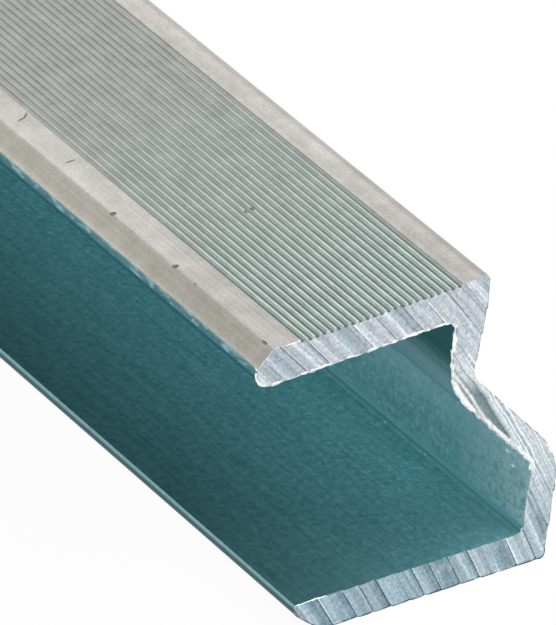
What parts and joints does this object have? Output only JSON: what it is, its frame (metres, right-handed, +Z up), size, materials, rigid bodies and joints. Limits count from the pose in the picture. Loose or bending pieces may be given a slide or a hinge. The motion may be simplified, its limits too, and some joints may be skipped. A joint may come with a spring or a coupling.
{
  "type": "aluminium extrusion profile",
  "caption": "Joggled aluminium channel stock with a band of flutes on its upper flange, extruded in one piece and sawn square.",
  "frame": {"origin": "on the ground under the middle of the bar, midway along its length and midway across its width", "axes": "+Y along the bar, +X from the channel's open mouth to its back, +Z up, with the plain flange lying on the ground"},
  "size_m": [0.0468, 1, 0.0434],
  "materials": {
    "mill_finish_aluminium": "mill finish, as extruded"
  },
  "bodies": {
    "root": {"fluted_channel": "mill_finish_aluminium"}
  },
  "joints": []
}
